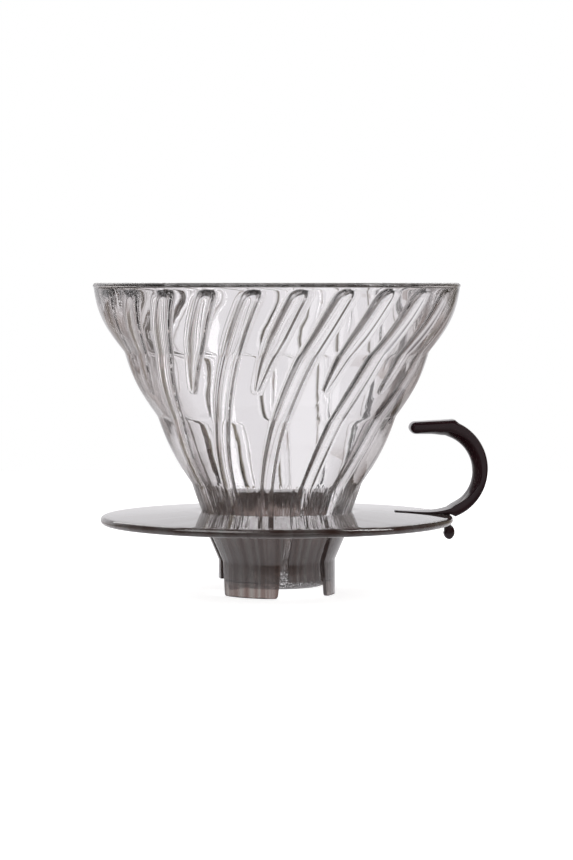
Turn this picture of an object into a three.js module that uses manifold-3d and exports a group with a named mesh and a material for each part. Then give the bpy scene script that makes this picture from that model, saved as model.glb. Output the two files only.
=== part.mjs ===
// A cone-shaped pour-over coffee dripper: a pressed glass cone with spiral ribs inside, a smoked plastic
// holder whose plate rests on a server or mug and whose split sleeve grips the glass, and a hook handle.
// Millimetres, +Z up. The origin is on the cone's axis, in the plane of the plate's flat underside.
// Azimuth 0 is the front (-Y) and grows towards +X, the side the handle is on.

import * as THREE from "three";
import { mergeVertices } from "three/addons/utils/BufferGeometryUtils.js";
import Module from "manifold-3d";

const wasm = await Module();
wasm.setup();

// ---- Driving dimensions ----

const FIT_GAP = 0.3; // between the glass and the holder, and between any two touching pieces

// Glass: its outside is four swelling bands between five junctions, from the rim down to the spout.
const BAND_JUNCTIONS = [
  { radius: 58.3, z: 75.6 },
  { radius: 48.5, z: 54.8 },
  { radius: 38.0, z: 34.3 },
  { radius: 27.1, z: 12.8 },
  { radius: 16.6, z: -10.0 },
];
const BAND_SWELLS = [2.1, 1.35, 1.05, 0.9]; // how far each band stands proud of its straight cone
const BAND_STEPS = 4;
const RIM = { radius: 58.5, z: 76.7, lip: 1.1 };
const SPOUT = { radius: 16.3, bore: 11.2, top: -12.0, bottom: -19.8, round: 2.4 };
const BORE_CONE = { z: -9.0, slope: Math.tan(THREE.MathUtils.degToRad(28)) };

// Ribs on the inside of the glass: every second one is long and runs into the spout.
const RIBS = 24;
const RIB = { height: 1.9, crestShare: 0.6, top: 74.6, endLength: 1.9 };
const RIB_WIDTH = { low: 1.6, high: 2.6, lowZ: -12, highZ: 66 }; // half the width at the foot of a rib
const LONG_RIB_END = -12.0;
const SHORT_RIB = { taperTop: 60.0, tip: 44.0, tipShare: 0.12 };
const TWIST = { start: -15.6, linear: 16.55, square: 25.85, cube: -9.9, z: 2.6, height: 70.1 }; // degrees

// Holder: a gently domed plate with a bullnose rim, and below it a sleeve split into three long tabs,
// which centre the holder in the mouth of a server, and three short fingers between them.
const PLATE = { radius: 56.3, rimTop: 2.65, hubTop: 4.2, hubRadius: 24.9, seatInner: 25.6, nose: 1.3 };
const SLEEVE = { radius: 18.65, kink: -11.4, slope: 0.425, bore: 16.85, bottom: -17.3, root: 24.1 };
const TAB = { bottom: -22.4, inner: 17.45, corner: 1.0, halfTop: 39.7, halfBottom: 31.7 }; // degrees
const FINGER = { halfTop: 16.2, halfBottom: 18.1, centres: [24.2, 144.2, 264.2] };
const SLIT = { top: -0.4, steps: 4 };

// Handle, in the plane y = 0: a thin foot on the plate, a hook between two arcs whose inner side bulges, a
// straight finger end, and below the foot a peg with a drop-shaped head.
const HANDLE_FOOT = { from: 38.0, to: 54.0, rise: 0.2, endRise: 1.5 };
const HOOK_OUTER = { x: 51.2, z: 17.2, radius: 16.25, from: -69, to: 64 }; // angles in degrees
const HOOK_INNER = { x: 51.3, z: 16.3, radius: 11.8, from: -62, to: 69 };
const HANDLE_CORNER = { x: 57.0, z: 32.95 };
const FINGER_END = { x: 44.7, z: 30.3, radius: 2.0 };
const HANDLE_WIDTH = { tip: 3.0, foot: 10.0, hook: 8.4, end: 7.4 };
const HANDLE_BULGE = { foot: 0.02, hook: 2.4, end: 0.5 };
const PEG = { inner: 53.95, outer: 55.85, width: 4, overlap: 0.6 };
const PEG_HEAD = { x: 55.55, z: -3.25, halfX: 1.8, halfZ: 2.35 };

const SEGMENTS = 72; // around the holder

// ---- Solids and geometries ----

const radians = THREE.MathUtils.degToRad;

function bare(geometry) {
  geometry.deleteAttribute("normal");
  geometry.deleteAttribute("uv");
  return mergeVertices(geometry, 1e-4);
}

function toSolid(geometry) {
  const merged = bare(geometry);
  return new wasm.Manifold(
    new wasm.Mesh({
      numProp: 3,
      vertProperties: merged.attributes.position.array,
      triVerts: new Uint32Array(merged.index.array),
    }),
  );
}

function toGeometry(solid) {
  const mesh = solid.getMesh();
  const geometry = new THREE.BufferGeometry();
  geometry.setAttribute("position", new THREE.BufferAttribute(mesh.vertProperties, mesh.numProp));
  geometry.setIndex(new THREE.BufferAttribute(mesh.triVerts, 1));
  return geometry;
}

// Turns a closed outline of [radius, z] points about Z. Azimuth 0 is at -Y.
function turned(outline, segments) {
  const closed = [...outline, outline[0]].map(([radius, z]) => new THREE.Vector2(radius, z));
  return new THREE.LatheGeometry(closed, segments).rotateX(Math.PI / 2);
}

// A block bent round the Z axis between two radii. edgesAt(z) gives the azimuths of its two sides.
function bentBlock(edgesAt, radii, heights, segments) {
  const [low, high] = heights;
  const box = new THREE.BoxGeometry(1, 1, high - low, segments, 1, SLIT.steps);
  const place = box.attributes.position;
  for (let i = 0; i < place.count; i++) {
    const z = place.getZ(i) + (low + high) / 2;
    const [from, to] = edgesAt(z);
    const azimuth = radians(THREE.MathUtils.lerp(from, to, place.getX(i) + 0.5));
    const radius = place.getY(i) < 0 ? radii[1] : radii[0];
    place.setXYZ(i, radius * Math.sin(azimuth), -radius * Math.cos(azimuth), z);
  }
  return toSolid(box);
}

function ramp(value, from, to) {
  return THREE.MathUtils.clamp((value - from) / (to - from), 0, 1);
}

// ---- Glass cone ----

// Radius of the outside of the glass at height z, between the rim and the top of the spout.
function glassOutside(z) {
  const band = BAND_JUNCTIONS.slice(1).findIndex((junction) => z >= junction.z);
  if (band < 0) return THREE.MathUtils.lerp(BAND_JUNCTIONS.at(-1).radius, SPOUT.radius, ramp(z, -10, SPOUT.top));
  const [upper, lower] = [BAND_JUNCTIONS[band], BAND_JUNCTIONS[band + 1]];
  const share = ramp(z, upper.z, lower.z);
  return THREE.MathUtils.lerp(upper.radius, lower.radius, share) + BAND_SWELLS[band] * Math.sin(Math.PI * share);
}

function glassInside(z) {
  return SPOUT.bore + BORE_CONE.slope * Math.max(0, z - BORE_CONE.z);
}

function twist(z) {
  const share = (z - TWIST.z) / TWIST.height;
  return TWIST.start + share * (TWIST.linear + share * (TWIST.square + share * TWIST.cube));
}

// Half the width of a rib at its foot, in degrees, at height z.
function ribHalfWidth(z) {
  const { low, high, lowZ, highZ } = RIB_WIDTH;
  const width = THREE.MathUtils.lerp(low, high, ramp(z, lowZ, highZ));
  return THREE.MathUtils.radToDeg(width / glassInside(z));
}

// Height of a rib above the inside wall, and its width as a share of full width, at height z.
function ribAt(long, z) {
  const topEnd = ramp(z, RIB.top, RIB.top - RIB.endLength);
  if (long) return { height: RIB.height * topEnd * ramp(z, LONG_RIB_END, BORE_CONE.z), share: 1 };
  const taper = ramp(z, SHORT_RIB.tip, SHORT_RIB.taperTop);
  const height = RIB.height * topEnd * Math.min(1, 2.5 * taper);
  return { height, share: THREE.MathUtils.lerp(SHORT_RIB.tipShare, 1, taper) };
}

function glassOutline() {
  const outside = [
    [SPOUT.radius - SPOUT.round, SPOUT.bottom],
    [SPOUT.radius - 0.3 * SPOUT.round, SPOUT.bottom + 0.3 * SPOUT.round],
    [SPOUT.radius, SPOUT.bottom + SPOUT.round],
    [SPOUT.radius, SPOUT.top],
  ];
  for (let band = BAND_SWELLS.length - 1; band >= 0; band--) {
    for (let step = 0; step < BAND_STEPS; step++) {
      const [upper, lower] = [BAND_JUNCTIONS[band].z, BAND_JUNCTIONS[band + 1].z];
      const z = THREE.MathUtils.lerp(lower, upper, step / BAND_STEPS);
      outside.push([glassOutside(z), z]);
    }
  }
  const lip = [
    [RIM.radius, RIM.z - RIM.lip],
    [RIM.radius - 0.3 * RIM.lip, RIM.z - 0.3 * RIM.lip],
    [RIM.radius - RIM.lip, RIM.z],
  ];
  const insideHeights = [75.4, 74.6, 72.7, 69, 65, 60, 56, 52, 48, 44, 38, 32, 25, 18, 12, 6, 0, -5, -9, -12];
  const inside = insideHeights.map((z) => [glassInside(z), z]);
  return { outline: [...outside, ...lip, ...inside, [SPOUT.bore, SPOUT.bottom]], firstInside: 23 };
}

function glassCone() {
  const { outline, firstInside } = glassOutline();
  const corners = [-1, -RIB.crestShare, RIB.crestShare, 1];
  const geometry = turned(outline, RIBS * corners.length);
  const place = geometry.attributes.position;
  const rows = outline.length + 1;
  for (let i = 0; i < place.count; i++) {
    const column = Math.floor(i / rows);
    const row = (i % rows) % outline.length;
    const rib = Math.floor(column / corners.length);
    const corner = column % corners.length;
    const [radius, z] = outline[row];
    const { height, share } = ribAt(rib % 2 === 0, z);
    const raised = row >= firstInside && (corner === 1 || corner === 2) ? height : 0;
    const azimuth = radians((rib * 360) / RIBS + corners[corner] * share * ribHalfWidth(z) + twist(z));
    place.setXYZ(i, (radius - raised) * Math.sin(azimuth), -(radius - raised) * Math.cos(azimuth), z);
  }
  return toGeometry(toSolid(geometry));
}

// ---- Holder ----

function sleeveOutside(z) {
  return SLEEVE.radius + SLEEVE.slope * Math.max(0, z - SLEEVE.kink);
}

// The bore that the glass drops into, from the hub down to the sleeve's straight part.
function boreOutline() {
  const points = [];
  for (const z of [PLATE.hubTop - 0.1, 1.5, -1.5, -4.5, -7.5, -10]) points.push([glassOutside(z) + FIT_GAP, z]);
  return [...points, [SLEEVE.bore, SPOUT.top], [SLEEVE.bore, SLEEVE.bottom]];
}

function holderOutline() {
  const nose = [];
  for (let step = 0; step <= 4; step++) {
    const angle = radians(-90 + 45 * step);
    nose.push([PLATE.radius - PLATE.nose * (1 - Math.cos(angle)), PLATE.nose + 0.03 + PLATE.nose * Math.sin(angle)]);
  }
  return [
    [TAB.inner, TAB.bottom],
    [SLEEVE.radius, TAB.bottom],
    [SLEEVE.radius, SLEEVE.kink],
    [sleeveOutside(-0.9), -0.9],
    [SLEEVE.root, 0],
    [PLATE.seatInner, 0],
    [PLATE.radius - PLATE.nose, 0],
    ...nose.slice(1),
    [PLATE.hubRadius, PLATE.hubTop],
    ...boreOutline(),
    [TAB.inner, SLEEVE.bottom],
  ];
}

// Half the angle of the space between two long tabs at height z, with the tabs' bottom corners rounded.
function gapHalfWidth(z) {
  const straight = THREE.MathUtils.lerp(60 - TAB.halfBottom, 60 - TAB.halfTop, ramp(z, TAB.bottom, 0));
  const into = Math.max(0, TAB.bottom + TAB.corner - z);
  const cut = TAB.corner - Math.sqrt(Math.max(0, TAB.corner ** 2 - into ** 2));
  return straight + THREE.MathUtils.radToDeg(cut / SLEEVE.radius);
}

function fingerHalfWidth(z) {
  return THREE.MathUtils.lerp(FINGER.halfBottom, FINGER.halfTop, ramp(z, SLEEVE.bottom, 0));
}

// Cuts one finger free: the space below it, and the slits that part it from the tabs on its two sides.
function freeFinger(holder, centre) {
  const gap = (z) => [centre - gapHalfWidth(z), centre + gapHalfWidth(z)];
  const leftSlit = (z) => [centre - gapHalfWidth(z), centre - fingerHalfWidth(z)];
  const rightSlit = (z) => [centre + fingerHalfWidth(z), centre + gapHalfWidth(z)];
  const reach = [12, 30];
  const cornerTop = TAB.bottom + TAB.corner;
  return holder
    .subtract(bentBlock(gap, reach, [TAB.bottom - 0.01, cornerTop], 8))
    .subtract(bentBlock(gap, reach, [cornerTop, SLEEVE.bottom], 8))
    .subtract(bentBlock(leftSlit, reach, [SLEEVE.bottom - 0.5, SLIT.top], 1))
    .subtract(bentBlock(rightSlit, reach, [SLEEVE.bottom - 0.5, SLIT.top], 1));
}

function holderGeometry() {
  let holder = toSolid(turned(holderOutline(), SEGMENTS));
  for (const centre of FINGER.centres) holder = freeFinger(holder, centre);
  const notchLength = PLATE.radius - PEG.inner + 2;
  const notch = new THREE.BoxGeometry(notchLength, PEG.width + 2 * FIT_GAP, 20)
    .translate(PEG.inner - FIT_GAP + notchLength / 2, 0, 0);
  return toGeometry(holder.subtract(toSolid(notch)));
}

// ---- Handle, drawn in the plane y = 0 ----

function plateTop(x) {
  const share = ramp(x, PLATE.hubRadius, PLATE.radius - PLATE.nose);
  return THREE.MathUtils.lerp(PLATE.hubTop, PLATE.rimTop, share);
}

function onArc({ x, z, radius }, degrees) {
  return [x + radius * Math.cos(radians(degrees)), z + radius * Math.sin(radians(degrees))];
}

// The handle's sections from the foot to the finger end: the middle of the outer side, the middle of the
// inner side, the width, and how far the inner side bulges past its edges.
function handleStations() {
  const { lerp, smoothstep } = THREE.MathUtils;
  const stations = [];
  for (let step = 0; step <= 6; step++) {
    const t = step / 6;
    const x = lerp(HANDLE_FOOT.from, HANDLE_FOOT.to, t);
    const base = plateTop(x) + FIT_GAP;
    const width = lerp(HANDLE_WIDTH.tip, HANDLE_WIDTH.foot, smoothstep(t, 0, 0.8));
    const rise = lerp(HANDLE_FOOT.rise, HANDLE_FOOT.endRise - FIT_GAP, t ** 4);
    stations.push({ outer: [x, base], inner: [x, base + rise], width, bulge: HANDLE_BULGE.foot });
  }
  stations.push({ outer: [55.5, 3.0], inner: [55.4, 4.75], width: HANDLE_WIDTH.foot, bulge: 0.1 });
  for (let step = 0; step <= 18; step++) {
    const t = step / 18;
    const outer = onArc(HOOK_OUTER, lerp(HOOK_OUTER.from, HOOK_OUTER.to, t));
    const inner = onArc(HOOK_INNER, lerp(HOOK_INNER.from, HOOK_INNER.to, t));
    const width = lerp(HANDLE_WIDTH.foot, HANDLE_WIDTH.hook, ramp(t, 0.4, 1));
    const bulge = lerp(0.2, HANDLE_BULGE.hook, smoothstep(t, 0, 0.45)) * lerp(1, 0.75, ramp(t, 0.85, 1));
    stations.push({ outer, inner, width, bulge });
  }
  const { x, z, radius } = FINGER_END;
  for (let step = 0; step <= 3; step++) {
    const t = step / 3;
    const outer = [lerp(HANDLE_CORNER.x, x, t), lerp(HANDLE_CORNER.z, z + radius, t)];
    const inner = [lerp(54.2, x, t), lerp(27.85, z - radius, Math.min(1, 2 * t))];
    const width = lerp(HANDLE_WIDTH.hook, HANDLE_WIDTH.end, t);
    stations.push({ outer, inner, width, bulge: lerp(1.6, HANDLE_BULGE.end, t) });
  }
  for (const degrees of [30, 55, 75]) {
    const [back, half] = [radius * Math.sin(radians(degrees)), radius * Math.cos(radians(degrees))];
    const width = HANDLE_WIDTH.end - 2 * (radius - half) * 0.6;
    const bulge = (HANDLE_BULGE.end * half) / radius;
    stations.push({ outer: [x - back, z + half], inner: [x - back, z - half], width, bulge });
  }
  return stations;
}

// One closed ring of points: a flat outer side with clipped corners, and a bulging inner side.
function handleSection({ outer, inner, width, bulge }) {
  const thickness = Math.hypot(outer[0] - inner[0], outer[1] - inner[1]);
  const along = [(outer[0] - inner[0]) / thickness, (outer[1] - inner[1]) / thickness];
  const [half, clip] = [width / 2, Math.min(0.4, 0.3 * thickness)];
  const corners = [
    [thickness, -half + clip],
    [thickness, half - clip],
    [thickness - clip, half],
    [bulge, half],
    [bulge / 4, half / 2],
    [0, 0],
    [bulge / 4, -half / 2],
    [bulge, -half],
    [thickness - clip, -half],
  ];
  return corners.map(([out, y]) => [inner[0] + along[0] * out, y, inner[1] + along[1] * out]);
}

// Skins a row of closed rings that all have the same number of points, and closes its two ends.
function lofted(rings) {
  const count = rings[0].length;
  const index = [];
  for (let ring = 0; ring < rings.length - 1; ring++) {
    for (let i = 0; i < count; i++) {
      const [a, b] = [ring * count + i, ring * count + ((i + 1) % count)];
      index.push(a, b, b + count, a, b + count, a + count);
    }
  }
  const last = (rings.length - 1) * count;
  for (let i = 1; i < count - 1; i++) {
    index.push(0, i + 1, i, last, last + i, last + i + 1);
  }
  const geometry = new THREE.BufferGeometry();
  geometry.setAttribute("position", new THREE.Float32BufferAttribute(rings.flat(2), 3));
  geometry.setIndex(index);
  return geometry;
}

function pegShape() {
  const { x, z, halfX, halfZ } = PEG_HEAD;
  const top = PLATE.rimTop + FIT_GAP + PEG.overlap;
  const shape = new THREE.Shape();
  shape.moveTo(PEG.inner, top);
  shape.absellipse(x, z, halfX, halfZ, radians(180), radians(420), false);
  shape.lineTo(PEG.outer, z + 1.3 * halfZ);
  shape.lineTo(PEG.outer, top);
  return shape;
}

function handleGeometry() {
  const hook = toSolid(lofted(handleStations().map(handleSection)));
  const peg = new THREE.ExtrudeGeometry(pegShape(), { depth: PEG.width, bevelEnabled: false, curveSegments: 12 });
  peg.translate(0, 0, -PEG.width / 2).rotateX(Math.PI / 2);
  return toGeometry(hook.add(toSolid(peg)));
}

// ---- Assembly ----

const glassMaterial = new THREE.MeshStandardMaterial({
  name: "clear_glass", color: 0xe6eceb, roughness: 0.03, metalness: 0, transparent: true, opacity: 0.35,
});
const smokeMaterial = new THREE.MeshStandardMaterial({
  name: "smoked_plastic", color: 0x3a2b2e, roughness: 0.12, metalness: 0, transparent: true, opacity: 0.85,
});

function node(name, geometry, material) {
  geometry.computeVertexNormals();
  const mesh = new THREE.Mesh(geometry, material);
  mesh.name = name;
  return mesh;
}

const dripper = new THREE.Group();
dripper.add(
  node("glass_cone", glassCone(), glassMaterial),
  node("holder", holderGeometry(), smokeMaterial),
  node("handle", handleGeometry(), smokeMaterial),
);

export default dripper;
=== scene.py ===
"""A pour-over coffee dripper: a clear ribbed glass cone in a smoked plastic holder with a hook handle.

Metres, +Z up, origin on the cone's axis in the plane of the plate's flat underside. Azimuth 0 is the
front (-Y) and grows towards +X, the side the handle is on.
"""

import math

import bmesh
import bpy
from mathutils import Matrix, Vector


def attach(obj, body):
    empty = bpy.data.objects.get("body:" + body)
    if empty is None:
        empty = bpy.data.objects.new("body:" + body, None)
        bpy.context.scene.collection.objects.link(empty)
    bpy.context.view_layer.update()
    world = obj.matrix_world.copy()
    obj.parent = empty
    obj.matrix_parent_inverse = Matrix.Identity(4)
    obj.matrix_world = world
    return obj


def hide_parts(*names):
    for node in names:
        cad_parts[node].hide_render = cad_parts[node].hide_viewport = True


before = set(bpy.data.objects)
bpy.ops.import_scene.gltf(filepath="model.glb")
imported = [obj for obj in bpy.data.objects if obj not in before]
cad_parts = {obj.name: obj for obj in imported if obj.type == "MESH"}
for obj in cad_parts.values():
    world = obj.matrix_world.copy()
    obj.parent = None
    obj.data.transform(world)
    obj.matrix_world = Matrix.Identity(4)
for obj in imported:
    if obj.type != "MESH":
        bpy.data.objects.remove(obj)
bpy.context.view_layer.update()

MM = 0.001

# Glass, in millimetres: four swelling bands between five junctions, from the rim down to the spout.
BAND_JUNCTIONS = ((58.3, 75.6), (48.5, 54.8), (38.0, 34.3), (27.1, 12.8), (16.6, -10.0))
BAND_SWELLS = (2.1, 1.35, 1.05, 0.9)
RIM_RADIUS = 58.5
RIM_TOP = 76.7
SPOUT_RADIUS = 16.3
SPOUT_BORE = 11.2
SPOUT_TOP = -12.0
SPOUT_BOTTOM = -19.8
SPOUT_ROUND = 2.4
SPOUT_FOOT_LIP = 0.7
RIM_ROUND = 1.05
BORE_CONE_Z = -9.0
BORE_CONE_SLOPE = math.tan(math.radians(28))

# Ribs inside the glass; every second one is long. Heights and distances in millimetres.
RIB_COUNT = 24
RIB_HEIGHT = 2.3
RIB_ROUNDNESS = 0.6
RIB_TOP = 74.7
RIB_END_RADIUS = 2.9
RIB_HALF_WIDTHS = (1.6, 2.6)
RIB_WIDTH_RANGE = (-12.0, 66.0)
LONG_RIB_FADE = (-17.0, -13.0)
SHORT_RIB_TAPER = (44.0, 61.0)
SHORT_RIB_TIP = 0.08
SHORT_RIB_SPREAD = 12.0

# A rib's azimuth in degrees is a cubic in its height, measured from TWIST_BOTTOM in units of TWIST_HEIGHT.
TWIST_BOTTOM = 2.6
TWIST_HEIGHT = 70.1
TWIST_START = -15.6
TWIST_LINEAR = 16.55
TWIST_SQUARE = 25.85
TWIST_CUBE = -9.9

# Holder, in millimetres.
PLATE_RADIUS = 56.3
PLATE_NOSE = 1.32
PLATE_RIM_TOP = 2.65
HUB_RADIUS = 24.9
HUB_TOP = 4.2
SLEEVE_RADIUS = 18.65
SLEEVE_BORE = 16.85
SLEEVE_KINK = -11.4
SLEEVE_SLOPE = 0.425
SLIT_TOP = -0.4
FINGER_CENTRES = (24.2, 144.2, 264.2)
FINGER_BOTTOM = -17.3
TAB_BOTTOM = -22.4
TAB_INNER = 17.45
TAB_CORNER = 1.0
FIT_GAP = 0.3
EDGE_BEVEL = 0.22
NOTCH_X = 55.65
NOTCH_SIZE = (4.0, 4.6, 20.0)

# Half widths in degrees, at the lower end and at the plate's underside.
GAP_HALF_WIDTHS = (28.3, 20.3)
FINGER_HALF_WIDTHS = (18.1, 16.2)

# Handle, in millimetres in the plane y = 0: a thin foot on the plate, a hook between two arcs whose inner
# side bulges, a straight finger end, and below the foot a peg with a drop-shaped head.
FOOT_FROM = 38.0
FOOT_TO = 54.0
FOOT_GAP = 0.06
FOOT_THICKNESS = (0.3, 1.5)
HEEL_X = 55.4
HEEL_HEIGHTS = (2.75, 4.75)
HOOK_OUTER = (51.2, 17.2, 16.25)
HOOK_OUTER_TURN = (-69, 64)
HOOK_INNER = (51.3, 16.3, 11.8)
HOOK_INNER_TURN = (-62, 69)
CORNER = (57.0, 32.95)
INNER_CORNER = (54.2, 27.85)
END_X = 44.7
END_Z = 30.3
END_RADIUS = 2.0
WIDTH_TIP = 3.0
WIDTH_FOOT = 10.0
WIDTH_HOOK = 8.4
WIDTH_END = 7.4
BULGE_HOOK = 2.4
BULGE_END = 0.5
PEG_INNER = 53.95
PEG_OUTER = 55.85
PEG_WIDTH = 4.0
PEG_HEAD_X = 55.55
PEG_HEAD_Z = -3.25
PEG_HALF_X = 1.8
PEG_HALF_Z = 2.35

# Camera: level with the rim, a little under a metre away.
CAMERA_DISTANCE = 0.904
CAMERA_HEIGHT = 0.0765
CAMERA_AZIMUTH = -5.0
CAMERA_LENS = 118.7
AIM_RIGHT = 0.0031
AIM_HEIGHT = 0.0298

FLOOR_Z = -0.0224
FLOOR_RADIUS = 0.6
LIGHT_AIM = (0, 0, 0.03)


# ---- Small helpers ----


def mix(a, b, t):
    return a + (b - a) * t


def clamp(value, low=0.0, high=1.0):
    return max(low, min(high, value))


def ramp(value, start, end):
    return clamp((value - start) / (end - start))


def smooth(t):
    return t * t * (3 - 2 * t)


def at(radius, azimuth, z):
    """A point in metres from a radius and height in millimetres and an azimuth in degrees."""
    angle = math.radians(azimuth)
    return (radius * math.sin(angle) * MM, -radius * math.cos(angle) * MM, z * MM)


def mesh_object(name, verts, faces, material):
    """A smooth-shaded mesh whose faces all point out."""
    mesh = bpy.data.meshes.new(name)
    mesh.from_pydata(verts, [], faces)
    mesh.validate()
    bm = bmesh.new()
    bm.from_mesh(mesh)
    bmesh.ops.recalc_face_normals(bm, faces=bm.faces)
    for face in bm.faces:
        face.smooth = True
    bm.to_mesh(mesh)
    bm.free()
    obj = bpy.data.objects.new(name, mesh)
    bpy.context.scene.collection.objects.link(obj)
    mesh.materials.append(material)
    return obj


def apply_modifiers(obj):
    """Keeps what the object's modifiers make of its mesh, and takes them off."""
    depsgraph = bpy.context.evaluated_depsgraph_get()
    mesh = bpy.data.meshes.new_from_object(obj.evaluated_get(depsgraph))
    obj.modifiers.clear()
    obj.data = mesh


def ring_faces(rows, columns):
    """Quads of a closed grid that wraps round both ways."""
    faces = []
    for row in range(rows):
        low = row * columns
        high = ((row + 1) % rows) * columns
        for column in range(columns):
            after = (column + 1) % columns
            faces.append((low + column, low + after, high + after, high + column))
    return faces


# ---- Node materials ----


class Nodes:
    """Builds a node tree with short calls."""

    def __init__(self, tree):
        self.tree = tree
        tree.nodes.clear()

    def add(self, kind, inputs=None, **settings):
        node = self.tree.nodes.new(kind)
        for key, value in settings.items():
            setattr(node, key, value)
        for key, value in (inputs or {}).items():
            if isinstance(value, bpy.types.NodeSocket):
                self.tree.links.new(value, node.inputs[key])
            else:
                node.inputs[key].default_value = value
        return node

    def ramp(self, source, stops):
        node = self.add("ShaderNodeValToRGB", {"Fac": source})
        elements = node.color_ramp.elements
        while len(elements) < len(stops):
            elements.new(0.5)
        for element, (position, colour) in zip(elements, stops):
            element.position = position
            element.color = (*colour, 1.0)
        return node.outputs["Color"]

    def streaks(self, axes, scale, detail):
        """Noise that only changes with the azimuth, so it draws lines that run up and down the part."""
        around = self.add(
            "ShaderNodeMath",
            {0: axes.outputs["X"], 1: axes.outputs["Y"]},
            operation="ARCTAN2",
        )
        noise = self.add(
            "ShaderNodeTexNoise",
            {"W": around.outputs[0], "Scale": scale, "Detail": detail},
            noise_dimensions="1D",
        )
        return noise.outputs["Fac"]

    def switch(self, ray, others, this):
        """One shader for the named kind of ray, and another for all others."""
        path = self.add("ShaderNodeLightPath")
        return self.add(
            "ShaderNodeMixShader",
            {0: path.outputs[ray], 1: others.outputs[0], 2: this.outputs[0]},
        )


def new_material(name):
    """An empty node material and the builder of its tree."""
    material = bpy.data.materials.new(name)
    material.use_nodes = True
    return material, Nodes(material.node_tree)


def clear_glass():
    """Pressed glass: clear, a little wavy, with painted shade darkening it where its surface turns edge on.
    """
    material, n = new_material("clear_glass")
    place = n.add("ShaderNodeTexCoord").outputs["Object"]
    waves = n.add("ShaderNodeTexNoise", {"Vector": place, "Scale": 90.0, "Detail": 1.5})
    wavy = n.add(
        "ShaderNodeBump",
        {"Height": waves.outputs["Fac"], "Strength": 0.12, "Distance": 0.0006},
    )
    axes = n.add("ShaderNodeSeparateXYZ", {"Vector": place})
    height = axes.outputs["Z"]
    low = n.add(
        "ShaderNodeMapRange",
        {"Value": height, "From Min": 0.0145, "From Max": 0.009, "To Min": 0.0, "To Max": 0.8},
    )
    streaked = n.add(
        "ShaderNodeBump",
        {
            "Height": n.streaks(axes, 24.0, 0.0),
            "Strength": low.outputs[0],
            "Distance": 0.0005,
            "Normal": wavy.outputs["Normal"],
        },
    )
    frosted = n.add(
        "ShaderNodeMapRange",
        {"Value": height, "From Min": -0.0135, "From Max": -0.016, "To Min": 0.0, "To Max": 1.0},
    )
    grains = n.add("ShaderNodeTexVoronoi", {"Vector": place, "Scale": 1100.0})
    bump = n.add(
        "ShaderNodeBump",
        {
            "Height": grains.outputs["Distance"],
            "Strength": frosted.outputs[0],
            "Distance": 0.001,
            "Normal": streaked.outputs["Normal"],
        },
    )
    edge = n.add("ShaderNodeLayerWeight", {"Blend": 0.5, "Normal": bump.outputs["Normal"]})
    # Painted shade: the colour darkens to near black where the surface turns edge on, drawing dark
    # outlines. Only the pale start of the ramp is the glass's own tint.
    tint_and_edge_shade = n.ramp(
        edge.outputs["Facing"],
        (
            (0.0, (0.985, 0.978, 0.983)),
            (0.35, (0.965, 0.955, 0.96)),
            (0.6, (0.62, 0.59, 0.585)),
            (0.8, (0.25, 0.23, 0.22)),
            (1.0, (0.1, 0.09, 0.085)),
        ),
    )
    # Painted light: at the rim the painted edge shade gives way to a pale warm colour, so the rim reads as
    # a light line.
    rim = n.add("ShaderNodeMapRange", {"Value": height, "From Min": 0.0752, "From Max": 0.0761})
    colour = n.add(
        "ShaderNodeMix",
        {0: rim.outputs[0], 6: tint_and_edge_shade, 7: (0.9, 0.87, 0.83, 1.0)},
        data_type="RGBA",
    )
    rough = n.add(
        "ShaderNodeMapRange",
        {"Value": height, "From Min": 0.0755, "From Max": 0.0763, "To Min": 0.015, "To Max": 0.3},
    )
    glass = n.add(
        "ShaderNodeBsdfPrincipled",
        {
            "Base Color": colour.outputs[2],
            "Roughness": rough.outputs[0],
            "IOR": 1.47,
            "Transmission Weight": 1.0,
            "Normal": bump.outputs["Normal"],
        },
    )
    clear = n.add("ShaderNodeBsdfTransparent", {"Color": (0.9, 0.9, 0.9, 1.0)})
    shader = n.switch("Is Shadow Ray", glass, clear)
    n.add("ShaderNodeOutputMaterial", {"Surface": shader.outputs[0]})
    return material


def smoked_plastic():
    """See-through moulded plastic, which darkens with the depth of plastic that the light crosses."""
    material, n = new_material("smoked_plastic")
    place = n.add("ShaderNodeTexCoord").outputs["Object"]
    grain = n.add("ShaderNodeTexNoise", {"Vector": place, "Scale": 420.0, "Detail": 3.0})
    flow = n.add("ShaderNodeTexNoise", {"Vector": place, "Scale": 60.0, "Detail": 1.0})
    axes = n.add("ShaderNodeSeparateXYZ", {"Vector": place})
    colour = n.ramp(
        n.streaks(axes, 9.0, 3.0),
        ((0.36, (0.36, 0.215, 0.18)), (0.5, (0.58, 0.43, 0.4)), (0.64, (0.72, 0.63, 0.59))),
    )
    bump = n.add(
        "ShaderNodeBump",
        {"Height": flow.outputs["Fac"], "Strength": 0.06, "Distance": 0.0003},
    )
    rough = n.add(
        "ShaderNodeMapRange",
        {"Value": grain.outputs["Fac"], "From Min": 0.3, "From Max": 0.7, "To Min": 0.0, "To Max": 0.04},
    )
    plastic = n.add(
        "ShaderNodeBsdfPrincipled",
        {
            "Base Color": colour,
            "Roughness": rough.outputs[0],
            "IOR": 1.52,
            "Transmission Weight": 0.9,
            "Coat Weight": 0.4,
            "Coat Roughness": 0.01,
            "Normal": bump.outputs["Normal"],
        },
    )
    smoke = n.add(
        "ShaderNodeVolumeAbsorption",
        {"Color": (0.2, 0.25, 0.225, 1.0), "Density": 880.0},
    )
    clear = n.add("ShaderNodeBsdfTransparent", {"Color": (0.8, 0.76, 0.76, 1.0)})
    shader = n.switch("Is Shadow Ray", plastic, clear)
    n.add("ShaderNodeOutputMaterial", {"Surface": shader.outputs[0], "Volume": smoke.outputs[0]})
    return material


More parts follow.
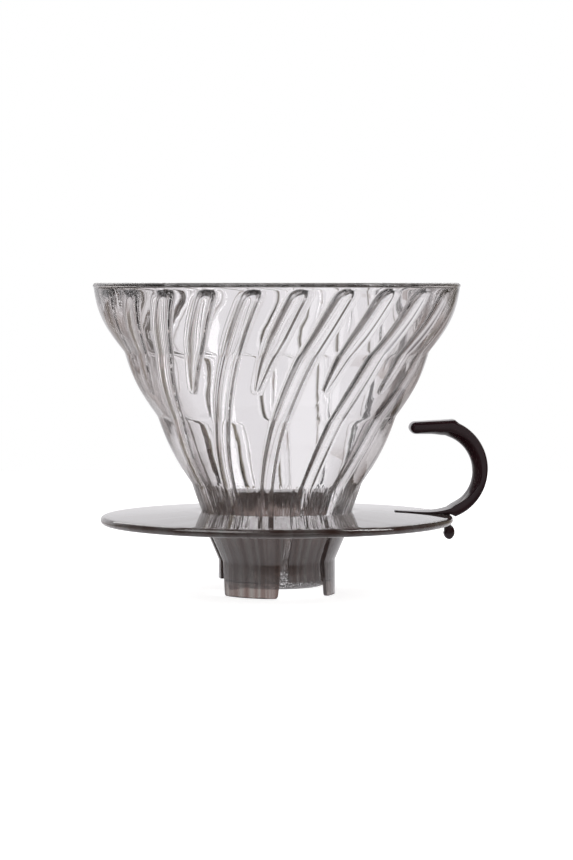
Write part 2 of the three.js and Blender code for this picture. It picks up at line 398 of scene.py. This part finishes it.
def dark_plastic():
    """The same plastic where it is too thick to see through: glossy, nearly black, a little purple."""
    material, n = new_material("dark_plastic")
    place = n.add("ShaderNodeTexCoord").outputs["Object"]
    cloud = n.add("ShaderNodeTexNoise", {"Vector": place, "Scale": 70.0, "Detail": 2.0})
    colour = n.ramp(
        cloud.outputs["Fac"],
        ((0.3, (0.013, 0.004, 0.006)), (0.7, (0.022, 0.008, 0.01))),
    )
    grain = n.add("ShaderNodeTexNoise", {"Vector": place, "Scale": 900.0, "Detail": 3.0})
    rough = n.add(
        "ShaderNodeMapRange",
        {"Value": grain.outputs["Fac"], "From Min": 0.3, "From Max": 0.7, "To Min": 0.12, "To Max": 0.2},
    )
    plastic = n.add(
        "ShaderNodeBsdfPrincipled",
        {"Base Color": colour, "Roughness": rough.outputs[0], "IOR": 1.5, "Specular IOR Level": 0.3},
    )
    n.add("ShaderNodeOutputMaterial", {"Surface": plastic.outputs[0]})
    return material


def floor_material():
    """White to the camera. To all other light paths it dims in a band in front and towards the sides."""
    material, n = new_material("pale_floor")
    place = n.add("ShaderNodeTexCoord").outputs["Object"]
    mottle = n.add("ShaderNodeTexNoise", {"Vector": place, "Scale": 3.0, "Detail": 2.0})
    colour = n.ramp(mottle.outputs["Fac"], ((0.3, (0.59, 0.59, 0.595)), (0.7, (0.61, 0.61, 0.615))))
    matt = n.add("ShaderNodeBsdfDiffuse", {"Color": colour})
    glow = n.add("ShaderNodeEmission", {"Color": (1.0, 1.0, 1.0, 1.0), "Strength": 0.84})
    both = n.add("ShaderNodeAddShader", {0: matt.outputs[0], 1: glow.outputs[0]})
    spot = n.add("ShaderNodeSeparateXYZ", {"Vector": place})
    far = n.add("ShaderNodeMapRange", {"Value": spot.outputs["Y"], "From Min": -0.6, "From Max": 0.0})
    along = n.ramp(
        far.outputs[0],
        (
            (0.1, (0.9, 0.89, 0.9)),
            (0.5, (0.6, 0.58, 0.57)),
            (0.7, (0.2, 0.18, 0.17)),
            (0.8, (0.2, 0.18, 0.17)),
            (0.92, (1.0, 0.985, 1.01)),
        ),
    )
    aside = n.add("ShaderNodeMath", {0: spot.outputs["X"]}, operation="ABSOLUTE")
    across = n.ramp(
        aside.outputs[0],
        (
            (0.08, (1.0, 1.0, 1.0)),
            (0.2, (0.6, 0.54, 0.51)),
            (0.35, (0.42, 0.38, 0.36)),
            (0.5, (0.8, 0.8, 0.8)),
        ),
    )
    seen = n.add("ShaderNodeMix", {0: 1.0, 6: along, 7: across}, data_type="RGBA", blend_type="MULTIPLY")
    through = n.add("ShaderNodeEmission", {"Color": seen.outputs[2], "Strength": 0.86})
    shader = n.switch("Is Camera Ray", through, both)
    n.add("ShaderNodeOutputMaterial", {"Surface": shader.outputs[0]})
    return material


# ---- Glass cone ----


def glass_outside(z):
    """Outer radius at height z: the swelling bands, and the spout below them."""
    if z < BAND_JUNCTIONS[-1][1]:
        return mix(BAND_JUNCTIONS[-1][0], SPOUT_RADIUS, ramp(z, BAND_JUNCTIONS[-1][1], SPOUT_TOP))
    for upper, lower, swell in zip(BAND_JUNCTIONS, BAND_JUNCTIONS[1:], BAND_SWELLS):
        if z >= lower[1]:
            share = ramp(z, upper[1], lower[1])
            return mix(upper[0], lower[0], share) + swell * math.sin(math.pi * share)
    return SPOUT_RADIUS


def glass_inside(z):
    """Inner radius between the ribs at height z: a cone above a straight bore."""
    return SPOUT_BORE + BORE_CONE_SLOPE * max(0.0, z - BORE_CONE_Z)


def twist(z):
    """How far round the ribs have turned at height z, in degrees."""
    share = (z - TWIST_BOTTOM) / TWIST_HEIGHT
    return TWIST_START + share * (TWIST_LINEAR + share * (TWIST_SQUARE + TWIST_CUBE * share))


def rib_share(long, z):
    """How much of its full width a rib has. A short rib's columns widen again, flat, below its tip."""
    share = 1.0
    top = RIB_TOP - z
    if top < RIB_END_RADIUS:
        into = RIB_END_RADIUS - clamp(top, 0.0, RIB_END_RADIUS)
        share = max(0.1, math.sqrt(max(0.0, 1 - (into / RIB_END_RADIUS) ** 2)))
    if long:
        return share
    tip, shoulder = SHORT_RIB_TAPER
    if z >= tip:
        return share * mix(SHORT_RIB_TIP, 1.0, ramp(z, tip, shoulder) ** 0.7)
    return mix(SHORT_RIB_TIP, 1.0, ramp(z, tip, tip - SHORT_RIB_SPREAD))


def rib_half_width(long, z):
    return mix(*RIB_HALF_WIDTHS, ramp(z, *RIB_WIDTH_RANGE)) * rib_share(long, z)


def rib_height(long, z, across):
    """Height of a rib with a rounded section. across is 0 on its middle and 1 at its foot."""
    if z > RIB_TOP:
        return 0.0
    if long:
        fade = smooth(ramp(z, *LONG_RIB_FADE))
    else:
        fade = ramp(z, SHORT_RIB_TAPER[0], SHORT_RIB_TAPER[0] + 1.0)
    section = max(0.0, 1 - across**3) ** RIB_ROUNDNESS
    return RIB_HEIGHT * fade * rib_share(long, z) * section


def inside_heights():
    """Heights of the rows inside the glass, from the rim down: close together at the ribs' round ends."""
    heights = [75.9, 75.5, 75.0, 74.7, 74.5, 74.2, 73.8, 73.4, 73.0, 72.5, 71.9, 71.2, 70.4]
    z = 69.5
    while z > -9.0:
        heights.append(z)
        z -= 0.85
    return heights + [-9.0, -9.6, -10.4, -11.2, -12.0, -14.0, -16.5, -18.4, -19.1]


def outside_heights():
    """Heights of the rows outside the glass, from the spout up: a tight pair at each junction."""
    heights = [SPOUT_TOP - 2.4, SPOUT_TOP]
    junctions = [z for _, z in BAND_JUNCTIONS]
    for upper, lower in reversed(list(zip(junctions, junctions[1:]))):
        steps = 17
        heights.append(lower + 0.25)
        heights.extend(mix(lower, upper, step / steps) for step in range(1, steps))
        heights.append(upper - 0.25)
    return heights


def arc(centre, radius, start, end, steps):
    """Points on an arc in the (radius, z) plane, angles in degrees."""
    points = []
    for step in range(steps + 1):
        angle = math.radians(mix(start, end, step / steps))
        points.append((centre[0] + radius * math.cos(angle), centre[1] + radius * math.sin(angle)))
    return points


def glass_rows():
    """The glass's section as (radius, z, is_inside), once round from the spout's foot."""
    foot = arc((SPOUT_RADIUS - SPOUT_ROUND, SPOUT_BOTTOM + SPOUT_ROUND), SPOUT_ROUND, -90, 0, 8)
    rows = [(radius, z, False) for radius, z in foot]
    rows += [(glass_outside(z), z, False) for z in outside_heights()]
    lip = arc((RIM_RADIUS - RIM_ROUND, RIM_TOP - RIM_ROUND), RIM_ROUND, 0, 180, 12)
    rows += [(radius, z, False) for radius, z in lip]
    rows += [(glass_inside(z), z, True) for z in inside_heights()]
    rows.append((SPOUT_BORE + SPOUT_FOOT_LIP, SPOUT_BOTTOM, False))
    return rows


def glass_columns(z):
    """Azimuth, rib index and place across the rib, from 0 to 1, for each column at height z."""
    pitch = 360.0 / RIB_COUNT
    degrees_per_mm = math.degrees(1.0) / glass_inside(z)
    samples = (0.24, 0.48, 0.68, 0.82, 0.91, 0.965, 1.0)
    samples = [-u for u in reversed(samples)] + [0.0] + list(samples)
    columns = []
    for rib in range(RIB_COUNT):
        centre = rib * pitch + twist(z)
        width = rib_half_width(rib % 2 == 0, z)
        after = rib_half_width(rib % 2 == 1, z)
        for u in samples:
            columns.append((centre + u * width * degrees_per_mm, rib, abs(u)))
        start = centre + width * degrees_per_mm
        end = centre + pitch - after * degrees_per_mm
        for t in (0.25, 0.5, 0.75):
            columns.append((mix(start, end, t), rib, 1.0))
    return columns


def glass_cone(material):
    """Rows round the section, with the ribs raised on the rows that lie inside."""
    verts = []
    rows = glass_rows()
    for radius, z, is_inside in rows:
        for azimuth, rib, across in glass_columns(z):
            height = rib_height(rib % 2 == 0, z, across) if is_inside else 0.0
            verts.append(at(radius - height, azimuth, z))
    columns = len(verts) // len(rows)
    return mesh_object("ribbed_glass", verts, ring_faces(len(rows), columns), material)


# ---- Holder ----


def sleeve_outside(z):
    return SLEEVE_RADIUS + SLEEVE_SLOPE * max(0.0, z - SLEEVE_KINK)


def sleeve_inside(z):
    if z < FINGER_BOTTOM:
        return mix(SLEEVE_BORE, TAB_INNER, ramp(z, FINGER_BOTTOM, FINGER_BOTTOM - 0.5))
    return max(SLEEVE_BORE, glass_outside(z) + FIT_GAP)


def gap_half_width(z):
    """Half the space between two tabs in degrees, with the tabs' lower corners rounded."""
    straight = mix(*GAP_HALF_WIDTHS, ramp(z, TAB_BOTTOM, 0.0))
    into = max(0.0, TAB_BOTTOM + TAB_CORNER - z)
    cut = TAB_CORNER - math.sqrt(max(0.0, TAB_CORNER**2 - into**2))
    return straight + math.degrees(cut / SLEEVE_RADIUS)


def finger_half_width(z):
    """Half a finger's width in degrees."""
    return mix(*FINGER_HALF_WIDTHS, ramp(z, FINGER_BOTTOM, 0.0))


def holder_columns(z):
    """Azimuths round the holder at height z, each with the name of the part to its right."""
    columns = []
    for centre in FINGER_CENTRES:
        gap = gap_half_width(z)
        finger = finger_half_width(z)
        spans = (
            ("tab", -60.0, -gap, 15),
            ("slit", -gap, -finger, 3),
            ("finger", -finger, finger, 20),
            ("slit", finger, gap, 3),
            ("tab", gap, 60.0, 15),
        )
        for part, start, end, steps in spans:
            for step in range(steps):
                columns.append((centre + mix(start, end, step / steps), part))
    return columns


def plate_section():
    """From the sleeve's bore up, over the plate and back to the sleeve's outside, as (radius, z)."""
    points = [(glass_outside(z) + FIT_GAP, z) for z in (1.0, 2.2, 3.3)]
    points += [(glass_outside(HUB_TOP) + FIT_GAP + 0.15, HUB_TOP - 0.1)]
    points += [(HUB_RADIUS, HUB_TOP)]
    for step in range(1, 10):
        radius = mix(HUB_RADIUS, PLATE_RADIUS - PLATE_NOSE, step / 10)
        points.append((radius, mix(HUB_TOP, PLATE_RIM_TOP, step / 10)))
    points += arc((PLATE_RADIUS - PLATE_NOSE, PLATE_NOSE), PLATE_NOSE, 90, -90, 12)
    points += [(50.0, 0.0), (40.0, 0.0), (30.0, 0.0), (25.6, 0.0)]
    points += [(24.6, -0.06), (24.0, -0.2)]
    return points


def sleeve_heights():
    """Heights of the sleeve's rows, close together at its kink and where fingers and tabs end."""
    wall = [SLIT_TOP, -1.2, -2.4, -4, -6, -8, -10]
    kink = [SLEEVE_KINK + 0.5, SLEEVE_KINK, SLEEVE_KINK - 0.5]
    fingers = [-13, -15, FINGER_BOTTOM, FINGER_BOTTOM - 0.5]
    corners = [-19, -20.5, -21.4, -21.75, -22.05, -22.27, TAB_BOTTOM]
    return wall + kink + fingers + corners


def holder_mesh(material):
    """Sleeve walls where a tab or finger is, the plate above them, and the cut edges between."""
    sleeve_z = sleeve_heights()
    parts = [part for _, part in holder_columns(0.0)]
    count = len(parts)
    verts = []
    for z in sleeve_z:
        for azimuth, _ in holder_columns(z):
            verts.append(at(sleeve_inside(z), azimuth, z))
    for z in sleeve_z:
        for azimuth, _ in holder_columns(z):
            verts.append(at(sleeve_outside(z), azimuth, z))
    plate = plate_section()
    plate_start = len(verts)
    for radius, z in plate:
        for azimuth, _ in holder_columns(SLIT_TOP):
            verts.append(at(radius, azimuth, z))

    def inner(row, column):
        return row * count + column % count

    def outer(row, column):
        return (len(sleeve_z) + row) * count + column % count

    def across(start, end):
        """A quad through the wall, from the bore to the outside."""
        return (inner(*start), inner(*end), outer(*end), outer(*start))

    def solid(row, column):
        part = parts[column % count]
        if row < 0:
            return True
        if row >= len(sleeve_z) - 1 or part == "slit":
            return False
        return part == "tab" or sleeve_z[row + 1] >= FINGER_BOTTOM

    faces = []
    for row in range(len(sleeve_z) - 1):
        for column in range(count):
            if not solid(row, column):
                if row == 0:
                    faces.append(across((0, column), (0, column + 1)))
                continue
            here = (row, column)
            right = (row, column + 1)
            below = (row + 1, column)
            opposite = (row + 1, column + 1)
            corners = (here, right, opposite, below)
            faces.append(tuple(inner(*corner) for corner in corners))
            faces.append(tuple(outer(*corner) for corner in corners))
            if not solid(row, column - 1):
                faces.append(across(here, below))
            if not solid(row, column + 1):
                faces.append(across(right, opposite))
            if not solid(row + 1, column):
                faces.append(across(below, opposite))

    def plate_vert(row, column):
        if row < 0:
            return inner(0, column)
        if row == len(plate):
            return outer(0, column)
        return plate_start + row * count + column % count

    for row in range(-1, len(plate)):
        for column in range(count):
            faces.append((plate_vert(row, column), plate_vert(row, column + 1),
                          plate_vert(row + 1, column + 1), plate_vert(row + 1, column)))
    used = sorted({index for face in faces for index in face})
    renumber = {old: new for new, old in enumerate(used)}
    verts = [verts[index] for index in used]
    faces = [tuple(renumber[index] for index in face) for face in faces]
    return mesh_object("smoked_holder", verts, faces, material)


def cut_notch(holder):
    """The notch in the plate's rim that the handle's peg passes through."""
    bpy.ops.mesh.primitive_cube_add(size=1.0, location=(NOTCH_X * MM, 0.0, 0.0))
    cutter = bpy.context.object
    cutter.scale = [side * MM for side in NOTCH_SIZE]
    cut = holder.modifiers.new("notch", "BOOLEAN")
    cut.object = cutter
    cut.operation = "DIFFERENCE"
    cut.solver = "EXACT"
    apply_modifiers(holder)
    bpy.data.objects.remove(cutter)


def soften_edges(obj, width, segments):
    """Rounds the sharp edges a little. width is in millimetres."""
    bevel = obj.modifiers.new("soft_edges", "BEVEL")
    bevel.width = width * MM
    bevel.segments = segments
    bevel.limit_method = "ANGLE"
    bevel.angle_limit = math.radians(38)
    apply_modifiers(obj)
    for polygon in obj.data.polygons:
        polygon.use_smooth = True


# ---- Handle ----


def plate_top(x):
    """Height of the plate's sloping top at a distance x from the axis."""
    return mix(HUB_TOP, PLATE_RIM_TOP, ramp(x, HUB_RADIUS, PLATE_RADIUS - PLATE_NOSE))


def loft(name, rings, material):
    """Skins a row of closed rings that all have the same number of points, and closes its two ends."""
    count = len(rings[0])
    verts = [tuple(value * MM for value in point) for ring in rings for point in ring]
    faces = []
    for row in range(len(rings) - 1):
        for side in range(count):
            after = (side + 1) % count
            faces.append((row * count + side, row * count + after,
                          (row + 1) * count + after, (row + 1) * count + side))
    faces.append(tuple(range(count)))
    faces.append(tuple(range((len(rings) - 1) * count, len(rings) * count)))
    return mesh_object(name, verts, faces, material)


def on_arc(circle, degrees):
    """A point on a circle given as its centre's x and z and its radius."""
    turn = math.radians(degrees)
    return (circle[0] + circle[2] * math.cos(turn), circle[1] + circle[2] * math.sin(turn))


def between(a, b, t):
    return (mix(a[0], b[0], t), mix(a[1], b[1], t))


def hook_stations():
    """From the foot to the finger end: outer point, inner point, width, and the inner side's bulge."""
    stations = []
    for step in range(13):
        t = step / 12
        x = mix(FOOT_FROM, FOOT_TO, t)
        base = plate_top(x) + FOOT_GAP
        rise = mix(*FOOT_THICKNESS, t**4)
        width = mix(WIDTH_TIP, WIDTH_FOOT, smooth(min(1, 1.25 * t)))
        stations.append(((x, base), (x, base + rise), width, 0.02))
    foot_end = plate_top(FOOT_TO) + FOOT_GAP
    for t in (0.33, 0.66, 1.0):
        outer = between((FOOT_TO, foot_end), (HEEL_X, HEEL_HEIGHTS[0]), t)
        inner = between((FOOT_TO, foot_end + FOOT_THICKNESS[1]), (HEEL_X, HEEL_HEIGHTS[1]), t)
        stations.append((outer, inner, WIDTH_FOOT, 0.1 * t))
    for step in range(49):
        t = step / 48
        outer = on_arc(HOOK_OUTER, mix(*HOOK_OUTER_TURN, t))
        inner = on_arc(HOOK_INNER, mix(*HOOK_INNER_TURN, t))
        bulge = mix(0.2, BULGE_HOOK, smooth(min(1, t / 0.45))) * mix(1, 0.75, ramp(t, 0.85, 1))
        stations.append((outer, inner, mix(WIDTH_FOOT, WIDTH_HOOK, ramp(t, 0.4, 1)), bulge))
    for step in range(9):
        t = step / 8
        outer = between(CORNER, (END_X, END_Z + END_RADIUS), t)
        drop = smooth(min(1, 2 * t))
        inner = (mix(INNER_CORNER[0], END_X, t), mix(INNER_CORNER[1], END_Z - END_RADIUS, drop))
        stations.append((outer, inner, mix(WIDTH_HOOK, WIDTH_END, t), mix(1.6, BULGE_END, t)))
    for step in range(1, 9):
        turn = math.radians(86 * step / 8)
        back = END_RADIUS * math.sin(turn)
        half = END_RADIUS * math.cos(turn)
        width = WIDTH_END - 1.4 * (END_RADIUS - half)
        bulge = BULGE_END * half / END_RADIUS
        stations.append(((END_X - back, END_Z + half), (END_X - back, END_Z - half), width, bulge))
    return stations


def hook_section(station):
    """A closed ring: a flat outer side, its corners rounder at the finger end, and a bulging inner side."""
    outer, inner, width, bulge = station
    thickness = math.dist(outer, inner)
    along = ((outer[0] - inner[0]) / thickness, (outer[1] - inner[1]) / thickness)
    half = width / 2
    softness = mix(0.55, 1.3, ramp(outer[1], 31.0, 32.6))
    round_off = min(softness, 0.32 * thickness, max(0.02, (thickness - bulge) * 0.45))
    corners = [(thickness, half * share) for share in (-0.6, -0.2, 0.2, 0.6)]
    for step in range(5):
        turn = math.radians(90 - 22.5 * step)
        out = thickness - round_off * (1 - math.sin(turn))
        corners.append((out, half - round_off * (1 - math.cos(turn))))
    small = min(0.22, 0.2 * thickness)
    corners.append((bulge + small, half))
    corners.append((bulge * 0.97 + 0.25 * small, half - 0.25 * small))
    for step in range(13):
        share = mix(0.93, -0.93, step / 12)
        corners.append((bulge * share * share, half * share))
    corners.append((bulge * 0.97 + 0.25 * small, -half + 0.25 * small))
    corners.append((bulge + small, -half))
    for step in range(5):
        turn = math.radians(22.5 * step)
        out = thickness - round_off * (1 - math.sin(turn))
        corners.append((out, -half + round_off * (1 - math.cos(turn))))
    return [(inner[0] + along[0] * out, y, inner[1] + along[1] * out) for out, y in corners]


def peg_rings():
    """Level sections of the peg and its drop, from inside the handle's foot down to the drop's end."""
    rings = []
    spans = [(PEG_INNER, PEG_OUTER, z) for z in (3.4, 2.0, 0.5, -0.6)]
    for step in range(15):
        turn = math.radians(mix(62, -86, step / 14))
        z = PEG_HEAD_Z + PEG_HALF_Z * math.sin(turn)
        half = PEG_HALF_X * math.cos(turn)
        left = PEG_INNER if turn > 0 else PEG_HEAD_X - half
        spans.append((left, max(PEG_OUTER if turn > 0.8 else 0, PEG_HEAD_X + half), z))
    for left, right, z in spans:
        middle, half = (left + right) / 2, (right - left) / 2
        depth = PEG_WIDTH / 2 - 0.7 * max(0.0, PEG_HALF_X - half) * (z < PEG_HEAD_Z)
        ring = []
        for side in range(24):
            angle = 2 * math.pi * side / 24
            c, d = math.cos(angle), math.sin(angle)
            x = middle + half * math.copysign(abs(c) ** 0.7, c)
            ring.append((x, depth * math.copysign(abs(d) ** 0.7, d), z))
        rings.append(ring)
    return rings


def handle(material):
    """The hook and its peg, joined into one object."""
    hook = loft("hook_handle", [hook_section(station) for station in hook_stations()], material)
    peg = loft("peg", peg_rings(), material)
    bm = bmesh.new()
    bm.from_mesh(hook.data)
    bm.from_mesh(peg.data)
    bm.to_mesh(hook.data)
    bm.free()
    bpy.data.objects.remove(peg)
    return hook


# ---- Stage ----


def add_floor():
    """A round floor a tenth of a millimetre below the tabs."""
    bpy.ops.mesh.primitive_circle_add(
        vertices=96,
        radius=FLOOR_RADIUS,
        fill_type="NGON",
        location=(0, 0, FLOOR_Z - 0.0001),
    )
    floor = bpy.context.object
    floor.name = "floor"
    floor.data.materials.append(floor_material())


def add_world():
    """White behind the object, and for light that comes through it or off it a studio with dark flanks."""
    world = bpy.data.worlds.new("studio")
    world.use_nodes = True
    bpy.context.scene.world = world
    n = Nodes(world.node_tree)
    direction = n.add("ShaderNodeTexCoord").outputs["Generated"]
    parts = n.add("ShaderNodeSeparateXYZ", {"Vector": direction})
    height = n.add("ShaderNodeMath", {0: parts.outputs["Z"]}, operation="ABSOLUTE")
    sky = n.ramp(
        height.outputs[0],
        (
            (0.0, (1.0, 1.0, 1.0)),
            (0.28, (1.0, 1.0, 1.0)),
            (0.5, (0.3, 0.29, 0.3)),
            (1.0, (0.2, 0.2, 0.2)),
        ),
    )
    side = n.add("ShaderNodeMapRange", {"Value": parts.outputs["X"], "From Min": -1.0, "From Max": 1.0})
    white = (1.0, 0.985, 1.01)
    grey = (0.3, 0.3, 0.29)
    olive = (0.24, 0.21, 0.165)
    brown = (0.1, 0.05, 0.038)
    behind = n.ramp(
        side.outputs[0],
        (
            (0.03, grey),
            (0.12, grey),
            (0.2, white),
            (0.66, white),
            (0.76, olive),
            (0.9, olive),
            (0.97, brown),
        ),
    )
    before = n.ramp(
        side.outputs[0],
        (
            (0.1, (0.02, 0.02, 0.018)),
            (0.5, (0.008, 0.007, 0.007)),
            (0.68, (0.05, 0.02, 0.014)),
            (1.0, (0.22, 0.1, 0.07)),
        ),
    )
    depth = n.add("ShaderNodeMapRange", {"Value": parts.outputs["Y"], "From Min": -1.0, "From Max": 1.0})
    open_side = n.ramp(
        depth.outputs[0],
        (
            (0.0, (0.9, 0.9, 0.9)),
            (0.04, (0.9, 0.9, 0.9)),
            (0.1, (0.0, 0.0, 0.0)),
            (0.375, (0.0, 0.0, 0.0)),
            (0.55, (1.0, 1.0, 1.0)),
        ),
    )
    flank = n.add("ShaderNodeMix", {0: open_side, 6: before, 7: behind}, data_type="RGBA").outputs[2]
    both = n.add("ShaderNodeMix", {0: 1.0, 6: sky, 7: flank}, data_type="RGBA", blend_type="MULTIPLY")
    studio = n.add("ShaderNodeBackground", {"Color": both.outputs[2], "Strength": 0.87})
    plain = n.add("ShaderNodeBackground", {"Color": (1.0, 1.0, 1.0, 1.0), "Strength": 1.0})
    shown = n.switch("Is Camera Ray", studio, plain)
    n.add("ShaderNodeOutputWorld", {"Surface": shown.outputs[0]})


def add_area_light(name, place, size, power):
    """A soft light aimed at the middle of the glass, which isn't seen through it."""
    light = bpy.data.lights.new(name, "AREA")
    light.shape = "RECTANGLE"
    light.size, light.size_y = size
    light.energy = power
    obj = bpy.data.objects.new(name, light)
    obj.location = place
    obj.rotation_euler = (Vector(LIGHT_AIM) - Vector(place)).to_track_quat("-Z", "Y").to_euler()
    obj.visible_transmission = False
    bpy.context.scene.collection.objects.link(obj)


def add_lights():
    add_area_light("key_softbox", (-0.7, -0.5, 0.9), (1.0, 1.0), 9.0)
    add_area_light("fill_softbox", (0.8, -0.3, 0.7), (0.35, 0.8), 6.0)
    add_area_light("back_softbox", (0.0, 0.9, 0.8), (1.4, 0.8), 6.0)


def add_camera():
    """The camera in front, a little to the left, aimed at about the glass's middle."""
    azimuth = math.radians(CAMERA_AZIMUTH)
    right = Vector((math.cos(azimuth), math.sin(azimuth), 0))
    back = Vector((math.sin(azimuth), -math.cos(azimuth), 0))
    place = back * CAMERA_DISTANCE + Vector((0, 0, CAMERA_HEIGHT))
    target = right * AIM_RIGHT + Vector((0, 0, AIM_HEIGHT))
    data = bpy.data.cameras.new("camera")
    data.lens = CAMERA_LENS
    data.sensor_width = 36.0
    camera = bpy.data.objects.new("camera", data)
    camera.location = place
    camera.rotation_euler = (target - place).to_track_quat("-Z", "Y").to_euler()
    bpy.context.scene.collection.objects.link(camera)
    bpy.context.scene.camera = camera


def set_render_look():
    """Enough bounces for light to cross the glass and the holder several times."""
    scene = bpy.context.scene
    scene.view_settings.view_transform = "Standard"
    scene.cycles.max_bounces = 32
    scene.cycles.transmission_bounces = 28
    scene.cycles.glossy_bounces = 8
    scene.cycles.transparent_max_bounces = 24


# ---- Assembly ----

glass = glass_cone(clear_glass())
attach(glass, "glass")
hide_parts("glass_cone")

smoke = smoked_plastic()
holder = holder_mesh(smoke)
cut_notch(holder)
soften_edges(holder, EDGE_BEVEL, 2)
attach(holder, "holder")
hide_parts("holder")

hook = handle(dark_plastic())
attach(hook, "holder")
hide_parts("handle")

add_floor()
add_world()
add_lights()
add_camera()
set_render_look()
